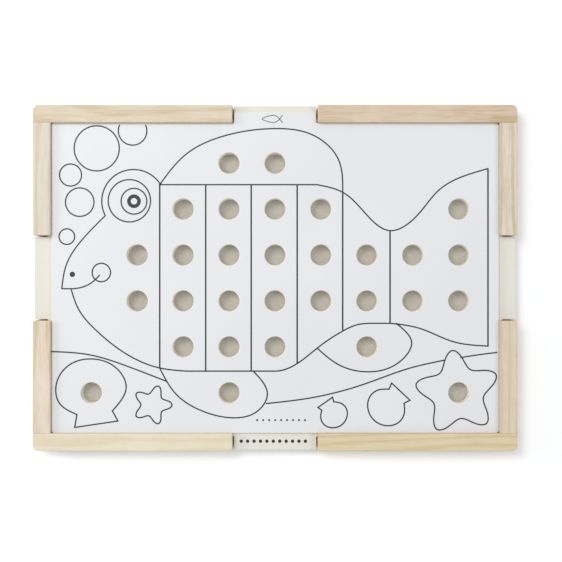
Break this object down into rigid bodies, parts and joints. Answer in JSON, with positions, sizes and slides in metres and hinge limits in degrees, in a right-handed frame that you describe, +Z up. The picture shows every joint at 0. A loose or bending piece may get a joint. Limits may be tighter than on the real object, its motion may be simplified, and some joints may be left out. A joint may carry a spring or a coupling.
{
  "type": "wooden picture sorting board",
  "caption": "Framed wooden board of round peg sockets, with a punched outline picture card that lifts out at four finger gaps.",
  "frame": {"origin": "middle of the underside of the board", "axes": "+Z up out of the picture, +X along the board to the right of the picture, +Y to the back edge, where the card has its title tab"},
  "size_m": [0.4, 0.2856, 0.019],
  "materials": {
    "pine": "matte",
    "cream_paint": "satin",
    "hardboard": "matte",
    "coated_card": "satin",
    "steel": "satin"
  },
  "bodies": {
    "board": {"back_panel": "hardboard", "base_board": "cream_paint", "long_rail_front_left": "pine", "long_rail_back_left": "pine", "long_rail_front_right": "pine", "long_rail_back_right": "pine", "short_rail_left_front": "pine", "short_rail_left_back": "pine", "short_rail_right_front": "pine", "short_rail_right_back": "pine", "brad_front_left_inner": "steel", "brad_left_front_inner": "steel", "brad_front_left_outer": "steel", "brad_left_front_outer": "steel", "corner_brad_front_left_lower": "steel", "corner_brad_front_left_upper": "steel", "brad_back_left_inner": "steel", "brad_left_back_inner": "steel", "brad_back_left_outer": "steel", "brad_left_back_outer": "steel", "corner_brad_back_left_lower": "steel", "corner_brad_back_left_upper": "steel", "brad_front_right_inner": "steel", "brad_right_front_inner": "steel", "brad_front_right_outer": "steel", "brad_right_front_outer": "steel", "corner_brad_front_right_lower": "steel", "corner_brad_front_right_upper": "steel", "brad_back_right_inner": "steel", "brad_right_back_inner": "steel", "brad_back_right_outer": "steel", "brad_right_back_outer": "steel", "corner_brad_back_right_lower": "steel", "corner_brad_back_right_upper": "steel"},
    "card": {"picture_card": "coated_card"}
  },
  "joints": [
    {"name": "card_lift", "type": "slide", "parent": "board", "child": "card", "axis": [0, 0, 1], "range_m": [0, 0.03]}
  ]
}
